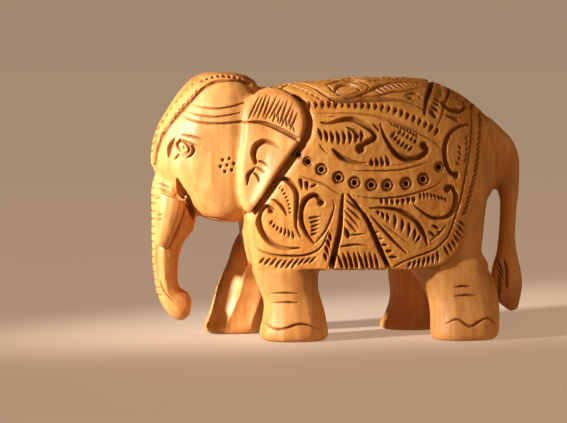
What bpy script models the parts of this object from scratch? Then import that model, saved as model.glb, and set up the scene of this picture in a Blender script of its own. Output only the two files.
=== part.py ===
"""Carved wooden elephant, about 128 mm long, standing on four flat soles.

The figurine is whittled from one block.  Each part below is one carved feature,
bounded by the stop cuts where the carver changes from one form to the next:
body, head, trunk, tusks, ears, legs, tail, and the relief cloth in panels.
All lengths are in millimetres here and become metres when a mesh is made.
Head towards -Y, the elephant's left side towards +X, up is +Z, soles on Z = 0.
"""
import math

import bmesh
import bpy
import numpy as np
from mathutils import Vector

MM = 0.001
GAP = 0.3                 # air between two neighbouring carved features
CLOTH_THICK = 2.4         # depth of the relief cloth
SKIN_STEP = 0.8           # how far the cloth stands proud of the bare rump
HEADDRESS_THICK = 1.7
HEADDRESS_PROUD = 0.5
HEM_Z = 24.2              # underside of belly and cloth
CHEST_RUN = 3.0           # how far the lining runs on through the chest
REACH = 60.0              # half length of a cutter that passes right through
SKY_Z = 100.0             # above everything, where upward cuts run out
LINING_FLOOR = 15.0       # the lining runs out below the hem
THINNEST = 1.5            # least half width of a body form cut down by an inset
CROWN_FROM = 60.0         # above this height an inset also lowers the crown
CREASE_ANGLE = 35.0       # degrees; a sharper fold is shaded as an edge

# number of rings each form is lofted through
BODY_RINGS = 29
HEAD_RINGS = 22
TRUNK_RINGS = 26
TUSK_RINGS = 9
TAIL_RINGS = 22
TUFT_RINGS = 10
LEG_RINGS = 13
EAR_POINTS = 32

# name of the wood finish: colour, roughness
WOOD = {
    "bare": ((0.70, 0.38, 0.14, 1.0), 0.42),
    "cloth": ((0.66, 0.34, 0.12, 1.0), 0.50),
    "tusk": ((0.74, 0.44, 0.18, 1.0), 0.40),
    "trim": ((0.64, 0.32, 0.11, 1.0), 0.50),
}

# body: station along Y, half width, top of back, underside, roundness 0..1
BODY = [
    (-35.0, 12.0, 62.0, 46.0, 1.0),
    (-33.8, 16.8, 71.0, 37.0, 0.75),
    (-31.8, 20.4, 78.6, 27.0, 0.35),
    (-29.6, 21.8, 82.0, HEM_Z, 0.1),
    (-25.6, 22.8, 84.2, HEM_Z, 0.0),
    (-18.0, 24.8, 86.0, HEM_Z, 0.0),
    (-8.0, 26.4, 87.1, HEM_Z, 0.0),
    (4.0, 27.0, 88.0, HEM_Z, 0.0),
    (16.0, 27.0, 88.4, HEM_Z, 0.0),
    (26.0, 26.5, 88.1, HEM_Z, 0.0),
    (34.0, 25.4, 86.6, HEM_Z, 0.0),
    (41.0, 23.4, 83.4, HEM_Z, 0.05),
    (46.2, 20.6, 79.8, HEM_Z, 0.15),
    (48.2, 18.8, 78.4, 27.0, 0.35),
    (50.6, 16.0, 76.0, 43.0, 0.7),
    (53.6, 11.2, 72.6, 47.0, 0.95),
    (56.0, 6.0, 67.5, 50.5, 1.0),
]
# right half of a barrel section: share of half width, share of height
BARREL = [
    (0.0, 1.0), (0.24, 0.990), (0.45, 0.962), (0.63, 0.912), (0.77, 0.842),
    (0.875, 0.752), (0.945, 0.645), (0.985, 0.520), (1.0, 0.395), (0.995, 0.265),
    (0.975, 0.125), (0.955, 0.0), (0.5, 0.0), (0.0, 0.0),
]

# head: height, face end, nape end, half width (an egg seen from above)
HEAD = [
    (89.4, -44.2, -37.0, 3.2),
    (88.6, -47.4, -32.6, 8.2),
    (86.6, -50.4, -28.8, 11.8),
    (83.4, -53.2, -25.6, 14.4),
    (78.4, -56.6, -22.0, 16.5),
    (72.6, -60.4, -21.0, 17.6),
    (66.5, -62.6, -21.0, 18.0),
    (60.0, -63.3, -21.0, 18.2),
    (55.8, -62.4, -21.0, 18.0),
    (51.6, -59.4, -21.0, 17.5),
    (47.2, -54.4, -21.0, 16.6),
    (43.6, -50.6, -22.0, 15.2),
    (41.2, -47.4, -24.0, 12.6),
    (39.4, -42.5, -27.0, 8.6),
]
HEAD_WIDEST_Y = -38.0

# trunk: front point (Y, Z), rear point (Y, Z), half width
TRUNK = [
    ((-60.6, 60.0), (-50.0, 55.0), 9.2),
    ((-63.2, 52.0), (-49.0, 46.5), 8.7),
    ((-63.4, 44.5), (-48.8, 37.4), 7.2),
    ((-63.4, 38.5), (-52.6, 32.0), 6.3),
    ((-63.4, 31.0), (-54.4, 27.0), 5.7),
    ((-63.2, 24.5), (-54.7, 22.5), 5.3),
    ((-62.4, 17.6), (-54.6, 18.8), 5.0),
    ((-61.0, 12.8), (-54.3, 17.2), 4.9),
    ((-58.6, 8.7), (-53.4, 16.4), 4.8),
    ((-55.8, 6.1), (-52.0, 15.5), 4.6),
    ((-53.0, 5.6), (-51.0, 14.8), 4.0),
    ((-50.6, 7.4), (-50.0, 12.6), 2.6),
]
# five-sided half section: front flat, lit facet, side ridge, rear facet
TRUNK_FACETS = [(-1.0, 0.0), (-1.0, 0.34), (-0.72, 0.74), (-0.18, 1.0), (0.5, 0.8),
                (0.92, 0.42), (1.0, 0.0)]

# left tusk: front point, rear point, middle X, half width
TUSK = [
    ((-61.2, 49.6), (-52.8, 46.6), 7.4, 4.4),
    ((-61.7, 45.4), (-53.4, 42.8), 7.6, 4.4),
    ((-62.1, 40.6), (-54.8, 38.6), 7.3, 3.9),
    ((-62.5, 35.6), (-56.8, 34.2), 6.9, 3.3),
    ((-62.8, 31.9), (-58.4, 30.6), 6.5, 2.8),
]

# left ear: closed outline in Y, Z and the X of its outer face at each point
EAR = [
    (-32.4, 80.2, 15.8), (-28.8, 83.5, 14.8), (-24.4, 84.8, 14.8), (-19.6, 83.5, 16.4),
    (-16.2, 80.4, 18.6), (-14.4, 76.4, 21.2), (-14.2, 71.6, 23.0), (-16.2, 67.2, 23.8),
    (-19.8, 62.2, 24.0), (-23.6, 56.6, 23.6), (-27.4, 50.6, 22.6), (-30.4, 45.8, 21.4),
    (-32.6, 43.6, 20.2), (-34.4, 45.6, 19.4), (-35.4, 51.2, 19.0), (-35.4, 57.8, 19.0),
    (-34.6, 64.4, 18.8), (-33.8, 70.6, 18.2), (-33.6, 76.2, 17.0),
]
EAR_SEAT_X = 12.0         # inner face, sunk in the side of the neck
EAR_CENTRE = (-25.6, 66.0)
EAR_THICK = 2.4
EAR_SWELL = 1.2           # how far the middle of the outer face stands out
# rings of the ear from seat to middle: share of the outline, lift in ear thicknesses
EAR_STEPS = [(1.0, -0.7), (1.02, -0.3), (1.0, 0.0), (0.965, 0.35), (0.9, 0.5), (0.7, 0.55),
             (0.4, 0.6), (0.1, 0.62)]
EAR_SEAT_SHARE = 0.9

# legs: height, middle X, middle Y, half width, half length
LEGS = {
    "front_left_leg": [
        (HEM_Z - GAP, 12.8, -19.4, 10.8, 11.6), (18.0, 12.8, -18.4, 10.2, 10.2),
        (12.7, 12.9, -16.8, 9.8, 9.9), (7.0, 13.1, -16.3, 10.4, 10.8),
        (3.3, 13.3, -16.5, 11.0, 11.6), (1.2, 13.3, -16.5, 11.0, 11.4),
        (0.0, 13.3, -16.5, 10.0, 10.4),
    ],
    "front_right_leg": [
        (37.0, -10.6, -23.8, 7.0, 7.6), (30.0, -12.0, -25.3, 9.6, 9.4),
        (24.0, -12.4, -26.3, 10.2, 10.1), (18.5, -12.6, -29.0, 9.8, 10.3),
        (12.0, -12.8, -31.0, 9.9, 10.3), (5.0, -13.0, -32.8, 10.5, 10.7),
        (1.8, -13.2, -34.0, 10.9, 11.2), (0.0, -13.2, -34.0, 10.2, 10.5),
    ],
    "rear_left_leg": [
        (HEM_Z - GAP, 13.8, 35.5, 9.8, 13.0), (21.6, 14.1, 37.4, 10.1, 13.4),
        (17.7, 14.6, 39.6, 10.1, 12.8),
        (13.0, 15.4, 41.2, 10.0, 12.0), (7.7, 16.3, 41.6, 10.3, 11.7),
        (3.0, 16.7, 41.4, 10.6, 11.6), (1.2, 16.7, 41.2, 10.5, 11.3),
        (0.0, 16.7, 40.8, 9.7, 10.4),
    ],
    "rear_right_leg": [
        (HEM_Z - GAP, -13.4, 33.8, 9.7, 13.8), (21.8, -13.9, 34.0, 10.1, 13.9),
        (19.4, -14.5, 33.0, 10.0, 12.9), (16.0, -15.1, 31.6, 9.9, 11.0),
        (12.7, -15.6, 31.0, 9.8, 9.9),
        (6.6, -16.5, 30.3, 10.1, 10.0), (2.4, -16.8, 28.6, 10.6, 10.6),
        (0.8, -16.8, 28.2, 10.5, 10.6), (0.0, -16.8, 28.2, 9.8, 9.9),
    ],
}

# tail and tuft: outer point (Y, Z), inner point (Y, Z), half width
TAIL = [
    ((53.0, 74.6), (48.0, 68.0), 5.4), ((57.2, 70.6), (50.5, 64.0), 4.9),
    ((61.0, 66.6), (53.5, 60.6), 4.4), ((63.3, 60.6), (54.6, 56.6), 4.0),
    ((63.5, 52.6), (55.4, 50.6), 3.8), ((63.1, 47.6), (56.8, 46.6), 3.5), ((62.5, 42.8), (56.9, 43.4), 3.3),
    ((62.2, 34.0), (56.6, 34.6), 3.2), ((62.9, 27.6), (55.8, 27.6), 3.3),
]
TUFT = [
    ((63.0, 27.6 - GAP), (55.7, 27.6 - GAP), 3.5), ((64.3, 22.0), (54.2, 22.0), 4.0),
    ((64.9, 17.0), (53.9, 15.6), 3.8), ((64.3, 12.2), (56.2, 10.8), 2.9),
    ((63.3, 8.0), (60.6, 7.2), 1.3),
]

# cloth outline in side view (Y, Z): front edge, hem, rounded rear edge
CLOTH_OUTLINE = [
    (-21.0, SKY_Z), (-22.5, 84.0), (-27.0, 68.0), (-31.0, 54.0), (-33.2, 41.0),
    (-33.0, 33.0), (-31.4, 26.8), (-30.0, LINING_FLOOR), (21.0, LINING_FLOOR), (21.6, 24.6),
    (30.0, 25.4), (34.6, 27.4), (37.6, 31.0), (40.2, 37.6), (42.4, 44.6),
    (45.6, 53.6), (48.4, 63.8), (50.6, 72.0), (53.0, 82.0), (54.0, SKY_Z),
]
# stop cuts between cloth panels: open line in side view and width of the cut
BACK_EDGE = [(-40.0, 79.6), (-18.6, 78.8), (-2.0, 77.6), (14.8, 75.4), (28.4, 69.7), (31.0, 72.5),
             (32.4, 82.0), (33.0, SKY_Z)]
SWAG_REAR = [(28.4, 69.7), (32.2, 64.2), (34.2, 57.0), (32.4, 51.4)]
SWAG_LOW = [(-44.0, 69.0), (-20.0, 61.6), (-10.0, 55.7), (-2.6, 51.4), (4.0, 50.2), (14.2, 49.6),
            (24.3, 50.4), (33.6, 52.4)]
FLAP_FRONT = [(-0.6, 51.4), (-2.4, 41.0), (-4.2, 31.0), (-6.6, LINING_FLOOR)]
FLAP_REAR = [(0.4, 51.2), (7.3, 39.4), (10.8, 32.0), (16.4, LINING_FLOOR)]
SPINE_FROM = 32.2         # the rear panels meet along the spine behind this
SPINE_LOW = 60.0          # how far down the cut between them reaches
NARROW_CUT = 0.35
FLAP_CUT = 1.1
# a point (Y, Z) well inside each panel, by which the panels are told apart
PANEL_SPOTS = {
    "upper_panel": (8.0, 62.0), "front_panel": (-15.0, 38.0), "centre_flap": (2.0, 32.0),
    "rear_panel": (28.0, 40.0),
}
BACK_SPOT = (5.0, 84.0)

# edge of the headdress in side view, from brow point over the crown to the nape
HEADDRESS_EDGE = [
    (-70.0, 57.6), (-62.4, 58.6), (-61.8, 63.4), (-59.6, 69.6), (-55.4, 75.2), (-51.0, 80.2),
    (-47.2, 84.2), (-42.6, 86.9), (-36.0, 87.4), (-31.0, 86.4), (-29.0, 84.4), (-24.0, SKY_Z),
    (-70.0, SKY_Z),
]
RING_SIDES = 24           # points round the head
CHIP_VOLUME = 2e-9        # cubic metres; anything smaller is a chip, not a panel


def smooth_rows(rows, count):
    """Pass a Catmull-Rom curve through the rows and sample it evenly."""
    pts = np.array(rows, dtype=float)
    pts = np.vstack([2 * pts[0] - pts[1], pts, 2 * pts[-1] - pts[-2]])
    spans = len(pts) - 3
    out = []
    for t in np.linspace(0.0, spans, count):
        i = min(int(t), spans - 1)
        f = t - i
        a, b, c, d = pts[i:i + 4]
        out.append(0.5 * (2 * b + (c - a) * f + (2 * a - 5 * b + 4 * c - d) * f * f
                          + (3 * b - a - 3 * c + d) * f ** 3))
    return np.array(out)


def add_object(name, verts, faces):
    mesh = bpy.data.meshes.new(name)
    mesh.from_pydata([tuple(c * MM for c in v) for v in verts], [], faces)
    bm = bmesh.new()
    bm.from_mesh(mesh)
    bmesh.ops.recalc_face_normals(bm, faces=bm.faces)
    bm.to_mesh(mesh)
    bm.free()
    obj = bpy.data.objects.new(name, mesh)
    bpy.context.scene.collection.objects.link(obj)
    return obj


def loft(name, rings):
    """Skin closed rings of equal length into one solid with flat ends."""
    n = len(rings[0])
    verts = [p for ring in rings for p in ring]
    faces = [list(range(n)), list(range((len(rings) - 1) * n, len(rings) * n))]
    for r in range(len(rings) - 1):
        for k in range(n):
            a = r * n + k
            b = r * n + (k + 1) % n
            faces.append([a, b, b + n, a + n])
    return add_object(name, verts, faces)


def prism(name, outline):
    """Side-view outline pushed right through the body along X."""
    near = [(REACH, y, z) for y, z in outline]
    far = [(-REACH, y, z) for y, z in outline]
    return loft(name, [near, far])


def saw_cut(name, line, width):
    """Thin wall that follows an open side-view line, as a stop cut does."""
    pts = np.array(line)
    step = np.gradient(pts, axis=0)
    side = np.stack([-step[:, 1], step[:, 0]], axis=1)
    side /= np.linalg.norm(side, axis=1)[:, None]
    outline = list(pts + side * width / 2) + list((pts - side * width / 2)[::-1])
    return prism(name, [tuple(p) for p in outline])


def boolean(target, tool, operation):
    mod = target.modifiers.new("cut", "BOOLEAN")
    mod.operation = operation
    mod.solver = "EXACT"
    mod.object = tool
    deps = bpy.context.evaluated_depsgraph_get()
    mesh = bpy.data.meshes.new_from_object(target.evaluated_get(deps))
    target.modifiers.clear()
    target.data = mesh
    return target


def discard(*objects):
    for obj in objects:
        bpy.data.objects.remove(obj)


def grown(obj, distance):
    """Copy of a solid with its skin moved out (or in) along the normals."""
    bm = bmesh.new()
    bm.from_mesh(obj.data)
    bmesh.ops.triangulate(bm, faces=bm.faces)
    bm.normal_update()
    for v in bm.verts:
        v.co += v.normal * distance * MM
    mesh = bpy.data.meshes.new(obj.name + "_grown")
    bm.to_mesh(mesh)
    bm.free()
    copy = bpy.data.objects.new(obj.name + "_grown", mesh)
    bpy.context.scene.collection.objects.link(copy)
    return copy


def carve(obj, tool):
    """Cut an object back with a tool; only the main solid stays."""
    boolean(obj, tool, "DIFFERENCE")
    drop_chips(obj)


def drop_chips(obj):
    """Keep the largest solid; the small offcuts fall away."""
    parts = split_loose(obj, keep=True)
    volume = {}
    for part in parts:
        bm = bmesh.new()
        bm.from_mesh(part.data)
        volume[part] = abs(bm.calc_volume())
        bm.free()
    best = max(parts, key=volume.get)
    obj.data = best.data
    discard(*parts)


def body_solid(name, inset, floor, through_chest=False):
    """The body form; a lining that runs through the chest leaves no cloth on it."""
    rows = smooth_rows(BODY, BODY_RINGS)
    shrink = 1.0 - inset / BODY[-1][0]
    stretch = 1.0 + (CHEST_RUN if through_chest else -inset) / -BODY[0][0]
    half = len(BARREL) - 1
    rings = []
    for y, w, top, bottom, roundness in rows:
        y = y * (shrink if y > 0 else stretch)
        w = max(w - inset, THINNEST)
        top = top - inset
        bottom = max(bottom, HEM_Z) - (HEM_Z - floor)
        ring = []
        for k, (u, v) in enumerate(BARREL):
            phi = math.pi * k / half
            u = u * (1 - roundness) + math.sin(phi) * roundness
            v = v * (1 - roundness) + (0.5 + 0.5 * math.cos(phi)) * roundness
            ring.append((w * u, y, bottom + (top - bottom) * v))
        ring += [(-x, y, z) for x, y, z in ring[-2:0:-1]]
        rings.append(ring)
    return loft(name, rings)


def head_solid(name, inset):
    rings = []
    for z, face, nape, w in smooth_rows(HEAD, HEAD_RINGS):
        z = z - inset if z > CROWN_FROM else z
        ring = []
        for k in range(RING_SIDES):
            phi = 2 * math.pi * k / RING_SIDES
            c = math.cos(phi)
            s = math.sin(phi)
            reach = (HEAD_WIDEST_Y - face) if c > 0 else (nape - HEAD_WIDEST_Y)
            ring.append(((w - inset) * s, HEAD_WIDEST_Y - c * (reach - inset), z))
        rings.append(ring)
    return loft(name, rings)


def strap(name, rows, section, count, middle_x=0.0):
    """Loft through rings set between a front and a rear point in side view."""
    flat = []
    for row in rows:
        xc = row[2] if len(row) == 4 else middle_x
        flat.append([*row[0], *row[1], xc, row[-1]])
    rings = []
    for fy, fz, ry, rz, xc, w in smooth_rows(flat, count):
        ring = []
        for u, v in section:
            ring.append((xc + w * v, (fy + ry + (ry - fy) * u) / 2, (fz + rz + (rz - fz) * u) / 2))
        ring += [(2 * xc - x, y, z) for x, y, z in ring[-2:0:-1]]
        rings.append(ring)
    return loft(name, rings)


def round_section(power, count):
    """Half of a rounded square, from front to rear."""
    pts = []
    for k in range(count + 1):
        phi = math.pi * k / count
        c = -math.cos(phi)
        s = math.sin(phi)
        pts.append((math.copysign(abs(c) ** power, c), abs(s) ** power))
    pts[0] = (-1.0, 0.0)
    pts[-1] = (1.0, 0.0)
    return pts


def leg_solid(name, rows):
    rings = []
    for z, xc, yc, hx, hy in smooth_rows(rows, LEG_RINGS):
        level = round(float(z), 6)
        ring = [(xc + hx * v, yc + hy * u, level) for u, v in LEG_SECTION]
        ring += [(2 * xc - x, y, level) for x, y, _ in ring[-2:0:-1]]
        rings.append(ring)
    return loft(name, rings)


def ear_solid(name):
    """Rounded flap: the outline in rings that shrink to the middle of each face."""
    outline = smooth_rows(EAR + EAR[:1], EAR_POINTS + 1)[:-1]
    cy, cz = EAR_CENTRE
    cx = float(np.mean(outline[:, 2])) + EAR_SWELL
    rings = [[(EAR_SEAT_X, cy + (y - cy) * EAR_SEAT_SHARE, cz + (z - cz) * EAR_SEAT_SHARE)
              for y, z, _ in outline]]
    for share, lift in EAR_STEPS:
        swell = 1.0 if share > 0.95 else share
        rings.append([(cx + (x - cx) * swell + EAR_THICK * lift, cy + (y - cy) * share,
                       cz + (z - cz) * share) for y, z, x in outline])
    return loft(name, rings)


def mirror_copy(obj, name):
    mesh = obj.data.copy()
    mesh.name = name
    for v in mesh.vertices:
        v.co.x = -v.co.x
    mesh.flip_normals()
    copy = bpy.data.objects.new(name, mesh)
    bpy.context.scene.collection.objects.link(copy)
    return copy


def split_loose(obj, keep=False):
    """One object for each separate solid left by the stop cuts."""
    bm = bmesh.new()
    bm.from_mesh(obj.data)
    bm.verts.ensure_lookup_table()
    group = {}
    label = 0
    for seed in bm.verts:
        if seed.index in group:
            continue
        stack = [seed]
        group[seed.index] = label
        while stack:
            v = stack.pop()
            for e in v.link_edges:
                o = e.other_vert(v)
                if o.index not in group:
                    group[o.index] = label
                    stack.append(o)
        label += 1
    parts = []
    for k in range(label):
        piece = bm.copy()
        piece.verts.ensure_lookup_table()
        drop = [v for v in piece.verts if group[v.index] != k]
        bmesh.ops.delete(piece, geom=drop, context="VERTS")
        size = abs(piece.calc_volume())
        if size < CHIP_VOLUME:
            piece.free()
            continue
        mesh = bpy.data.meshes.new("panel")
        piece.to_mesh(mesh)
        piece.free()
        part = bpy.data.objects.new("panel", mesh)
        bpy.context.scene.collection.objects.link(part)
        parts.append(part)
    bm.free()
    if not keep:
        discard(obj)
    return parts


def inside(obj, y, z, side):
    """Does a line along X at this side-view point pass through the solid?"""
    start = Vector((side * REACH, y, z)) * MM
    hit, *_ = obj.ray_cast(start, Vector((-side, 0.0, 0.0)), distance=REACH * MM)
    return hit


def finish(obj, finish_name):
    colour, rough = WOOD[finish_name]
    mat = bpy.data.materials.new(obj.name + "_wood")
    mat.use_nodes = True
    shader = mat.node_tree.nodes["Principled BSDF"]
    shader.inputs["Base Color"].default_value = colour
    shader.inputs["Roughness"].default_value = rough
    shader.inputs["Metallic"].default_value = 0.0
    obj.data.materials.clear()
    obj.data.materials.append(mat)
    obj.data.shade_smooth()
    obj.data.set_sharp_from_angle(angle=math.radians(CREASE_ANGLE))


for old in list(bpy.data.objects):
    bpy.data.objects.remove(old)

# half sections: how square each form is, and how many facets run round half of it
LEG_SECTION = round_section(0.82, 10)
TUSK_SECTION = round_section(0.8, 6)
TAIL_SECTION = round_section(0.9, 7)

# --- body under the cloth, with the bare rump and chest standing a little prouder
torso = body_solid("torso", SKIN_STEP, HEM_Z)
core = body_solid("core", CLOTH_THICK + GAP, LINING_FLOOR, True)
room = prism("room", CLOTH_OUTLINE)
boolean(room, core, "DIFFERENCE")
boolean(torso, room, "DIFFERENCE")
discard(room, core)

# --- relief cloth: one shell, parted by the stop cuts into panels
cloth = body_solid("cloth", 0.0, HEM_Z)
cloth_edge = prism("cloth_edge", CLOTH_OUTLINE)
lining = body_solid("lining", CLOTH_THICK, LINING_FLOOR, True)
boolean(cloth, cloth_edge, "INTERSECT")
boolean(cloth, lining, "DIFFERENCE")
discard(cloth_edge, lining)
tools = [saw_cut("stop_cut", line, width) for line, width in (
    (FLAP_FRONT, FLAP_CUT), (FLAP_REAR, FLAP_CUT), (SWAG_LOW, NARROW_CUT),
    (SWAG_REAR, NARROW_CUT), (BACK_EDGE, NARROW_CUT))]
tools.append(loft("spine_cut", [
    [(x, SPINE_FROM, SPINE_LOW), (x, REACH, SPINE_LOW), (x, REACH, SKY_Z), (x, SPINE_FROM, SKY_Z)]
    for x in (-NARROW_CUT / 2, NARROW_CUT / 2)]))
solids = [cloth]
for tool in tools:
    solids = [part for whole in solids for part in split_loose(boolean(whole, tool, "DIFFERENCE"))]
discard(*tools)
panels = {}
for part in solids:
    name = "back_panel" if inside(part, *BACK_SPOT, 1) else None
    for flank, side in (("left", 1), ("right", -1)):
        for spot, (y, z) in PANEL_SPOTS.items():
            if inside(part, y, z, side):
                name = flank + "_" + spot
    if name is None or name in panels:
        discard(part)
        continue
    part.name = name
    panels[name] = part

# --- head, then everything that grows out of it
skin_clear = body_solid("skin_clear", SKIN_STEP - GAP, HEM_Z - GAP)
head_clear = head_solid("head_clear", -GAP)
head = head_solid("head", 0.0)
headdress = head_solid("headdress", -HEADDRESS_PROUD)
band = prism("band", HEADDRESS_EDGE)
under = head_solid("under", HEADDRESS_THICK - HEADDRESS_PROUD)
boolean(headdress, band, "INTERSECT")
boolean(headdress, under, "DIFFERENCE")
pocket = grown(band, GAP / 2)
seat = head_solid("seat", HEADDRESS_THICK - HEADDRESS_PROUD + GAP)
boolean(pocket, seat, "DIFFERENCE")
boolean(head, pocket, "DIFFERENCE")
discard(band, under, pocket, seat)
carve(head, skin_clear)
carve(headdress, skin_clear)

trunk = strap("trunk", TRUNK, TRUNK_FACETS, TRUNK_RINGS)
trunk_clear = grown(trunk, GAP)
carve(trunk, head_clear)
tusk_left = strap("tusk_left", TUSK, TUSK_SECTION, TUSK_RINGS)
carve(tusk_left, trunk_clear)
carve(tusk_left, head_clear)
tusk_right = mirror_copy(tusk_left, "tusk_right")

ear_left = ear_solid("ear_left")
ear_clear = grown(ear_left, GAP)
carve(ear_left, skin_clear)
carve(ear_left, head_clear)
ear_right = mirror_copy(ear_left, "ear_right")
ear_clear_right = mirror_copy(ear_clear, "ear_clear_right")
for panel, tool in (("left_upper_panel", ear_clear), ("left_front_panel", ear_clear),
                    ("back_panel", ear_clear), ("right_upper_panel", ear_clear_right),
                    ("right_front_panel", ear_clear_right), ("back_panel", ear_clear_right)):
    carve(panels[panel], tool)

# --- legs, tail and its tuft
legs = [leg_solid(name, rows) for name, rows in LEGS.items()]
leg_clear = grown(legs[1], GAP)
carve(legs[1], skin_clear)
carve(panels["right_front_panel"], leg_clear)
tail = strap("tail", TAIL, TAIL_SECTION, TAIL_RINGS)
tail_clear = grown(tail, GAP)
carve(tail, skin_clear)
carve(panels["left_rear_panel"], tail_clear)
carve(panels["right_rear_panel"], tail_clear)
tuft = strap("tail_tuft", TUFT, TAIL_SECTION, TUFT_RINGS)
discard(skin_clear, head_clear, trunk_clear, ear_clear, ear_clear_right, leg_clear, tail_clear)

for obj in (torso, head, trunk, ear_left, ear_right, tail, *legs):
    finish(obj, "bare")
for obj in (tusk_left, tusk_right):
    finish(obj, "tusk")
for obj in panels.values():
    finish(obj, "cloth")
for obj in (headdress, tuft):
    finish(obj, "trim")
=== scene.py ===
"""Carved wooden elephant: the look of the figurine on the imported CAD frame.

The blank is grown from the CAD solids, smoothed as a sanded carving is, and then
cut with gouges.  The strokes are laid out in millimetres on two drawings: the side
view (Y, Z) for both flanks, and the top view (Y, distance from the spine) for the back.
Head towards -Y, the elephant's left side towards +X, soles on Z = 0.
"""
import math

import bmesh
import bpy
import numpy as np
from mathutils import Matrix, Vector
from mathutils.bvhtree import BVHTree
from mathutils.kdtree import KDTree


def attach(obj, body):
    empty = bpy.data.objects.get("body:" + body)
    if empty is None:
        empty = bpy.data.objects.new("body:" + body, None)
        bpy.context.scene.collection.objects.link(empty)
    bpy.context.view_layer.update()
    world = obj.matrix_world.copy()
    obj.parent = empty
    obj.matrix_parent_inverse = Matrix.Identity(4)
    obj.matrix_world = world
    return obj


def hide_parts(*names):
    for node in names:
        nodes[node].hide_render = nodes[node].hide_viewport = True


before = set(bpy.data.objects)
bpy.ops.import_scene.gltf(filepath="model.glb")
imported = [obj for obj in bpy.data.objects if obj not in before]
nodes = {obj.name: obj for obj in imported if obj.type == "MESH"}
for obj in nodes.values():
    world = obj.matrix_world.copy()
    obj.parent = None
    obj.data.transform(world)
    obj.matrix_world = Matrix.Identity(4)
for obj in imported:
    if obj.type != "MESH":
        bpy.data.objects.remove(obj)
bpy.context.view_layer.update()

MM = 0.001
VOXEL = 0.5               # spacing of the blank's first mesh, mm
CLOSE = 0.45              # the CAD gaps are closed by growing this far and back
LEG_FROM = 18.0           # the part of a leg above this height is carried up
LEG_RISE = 5.0            # by this much, mm
LEG_SHRINK = 0.88         # and drawn in to this share, so that it stays in the body
HIP_TOP = 30.0            # only a leg that ends below this height is carried up
HIP_MIDDLE = 23.0         # height where legs and belly are blended together, mm
HIP_REACH = 7.0           # above and below it
SOFT_SHARE = 0.25         # how much the trunk, tusks and tuft are smoothed, against the rest
HEM_DROP = 0.1            # how far a carved hem may hang below the CAD hem, mm
SKIRT = 2.6               # how deep a piece's hidden back lies under its rim, mm
INWARD_ROUNDS = 12        # how widely the direction of that skirt is averaged
rng = np.random.default_rng(11)

names = sorted(nodes)
CLOTH = {n for n in names if n.endswith(("_panel", "_flap"))}


# ---------------------------------------------------------------- blank
def node_arrays(obj):
    mesh = obj.data
    mesh.calc_loop_triangles()
    co = np.empty(len(mesh.vertices) * 3, np.float32)
    mesh.vertices.foreach_get("co", co)
    tri = np.empty(len(mesh.loop_triangles) * 3, np.int32)
    mesh.loop_triangles.foreach_get("vertices", tri)
    return co.reshape(-1, 3).astype(float) / MM, tri.reshape(-1, 3)


def welded(co, tri):
    """Merge the vertices that share a place, so that the skin can be grown."""
    key = np.round(co * 2000).astype(np.int64)
    _, first, back = np.unique(key, axis=0, return_index=True, return_inverse=True)
    back = back.reshape(-1)
    tri = back[tri]
    keep = (tri[:, 0] != tri[:, 1]) & (tri[:, 1] != tri[:, 2]) & (tri[:, 2] != tri[:, 0])
    return co[first], tri[keep]


def vertex_normals(co, tri):
    """Average of the face normals round each vertex, weighted by area."""
    a, b, c = co[tri[:, 0]], co[tri[:, 1]], co[tri[:, 2]]
    n = np.cross(b - a, c - a)
    out = np.zeros_like(co)
    for k in range(3):
        np.add.at(out, tri[:, k], n)
    return out / np.maximum(np.linalg.norm(out, axis=1), 1e-9)[:, None]


def mesh_from(name, co, faces, caps=None):
    """Mesh of equal-sided faces, with triangles for the caps after them."""
    mesh = bpy.data.meshes.new(name)
    n_face, corners = faces.shape
    starts = np.arange(0, n_face * corners, corners, dtype=np.int32)
    loops = faces.astype(np.int32).ravel()
    if caps is not None and len(caps):
        cap_starts = len(loops) + np.arange(0, len(caps) * 3, 3, dtype=np.int32)
        starts = np.concatenate([starts, cap_starts])
        loops = np.concatenate([loops, caps.astype(np.int32).ravel()])
    mesh.vertices.add(len(co))
    mesh.vertices.foreach_set("co", (co * MM).astype(np.float32).ravel())
    mesh.loops.add(len(loops))
    mesh.loops.foreach_set("vertex_index", loops)
    mesh.polygons.add(len(starts))
    mesh.polygons.foreach_set("loop_start", starts)
    mesh.update(calc_edges=True)
    return mesh


def evaluated_quads(obj):
    deps = bpy.context.evaluated_depsgraph_get()
    mesh = bpy.data.meshes.new_from_object(obj.evaluated_get(deps))
    co = np.empty(len(mesh.vertices) * 3, np.float32)
    mesh.vertices.foreach_get("co", co)
    loops = np.empty(len(mesh.loops), np.int32)
    mesh.loops.foreach_get("vertex_index", loops)
    bpy.data.meshes.remove(mesh)
    return co.reshape(-1, 3).astype(float) / MM, loops.reshape(-1, 4)


def add_object(name, data):
    obj = bpy.data.objects.new(name, data)
    bpy.context.scene.collection.objects.link(obj)
    return obj


def leg_top(skin):
    """The wood of a leg runs on up into the body: its top, copied up and drawn in."""
    upper = skin.copy()
    low = upper[:, 2] < LEG_FROM
    axis = upper[~low].mean(0)
    upper[:, :2] = axis[:2] + (upper[:, :2] - axis[:2]) * LEG_SHRINK
    upper[low] = axis
    upper[:, 2] += LEG_RISE
    return upper


parts = {n: welded(*node_arrays(nodes[n])) for n in names}
grown_co = []
grown_tri = []
offset = 0
for n in names:
    co, tri = parts[n]
    skins = [co + vertex_normals(co, tri) * CLOSE]
    if n.endswith("_leg") and co[:, 2].max() < HIP_TOP:
        skins.append(leg_top(skins[0]))
    for skin in skins:
        grown_co.append(skin)
        grown_tri.append(tri + offset)
        offset += len(co)
raw = add_object("blank", mesh_from("blank", np.vstack(grown_co), np.vstack(grown_tri)))
remesh = raw.modifiers.new("remesh", "REMESH")
remesh.mode = "VOXEL"
remesh.voxel_size = VOXEL * MM
co, quads = evaluated_quads(raw)
bpy.data.objects.remove(raw)


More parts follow.
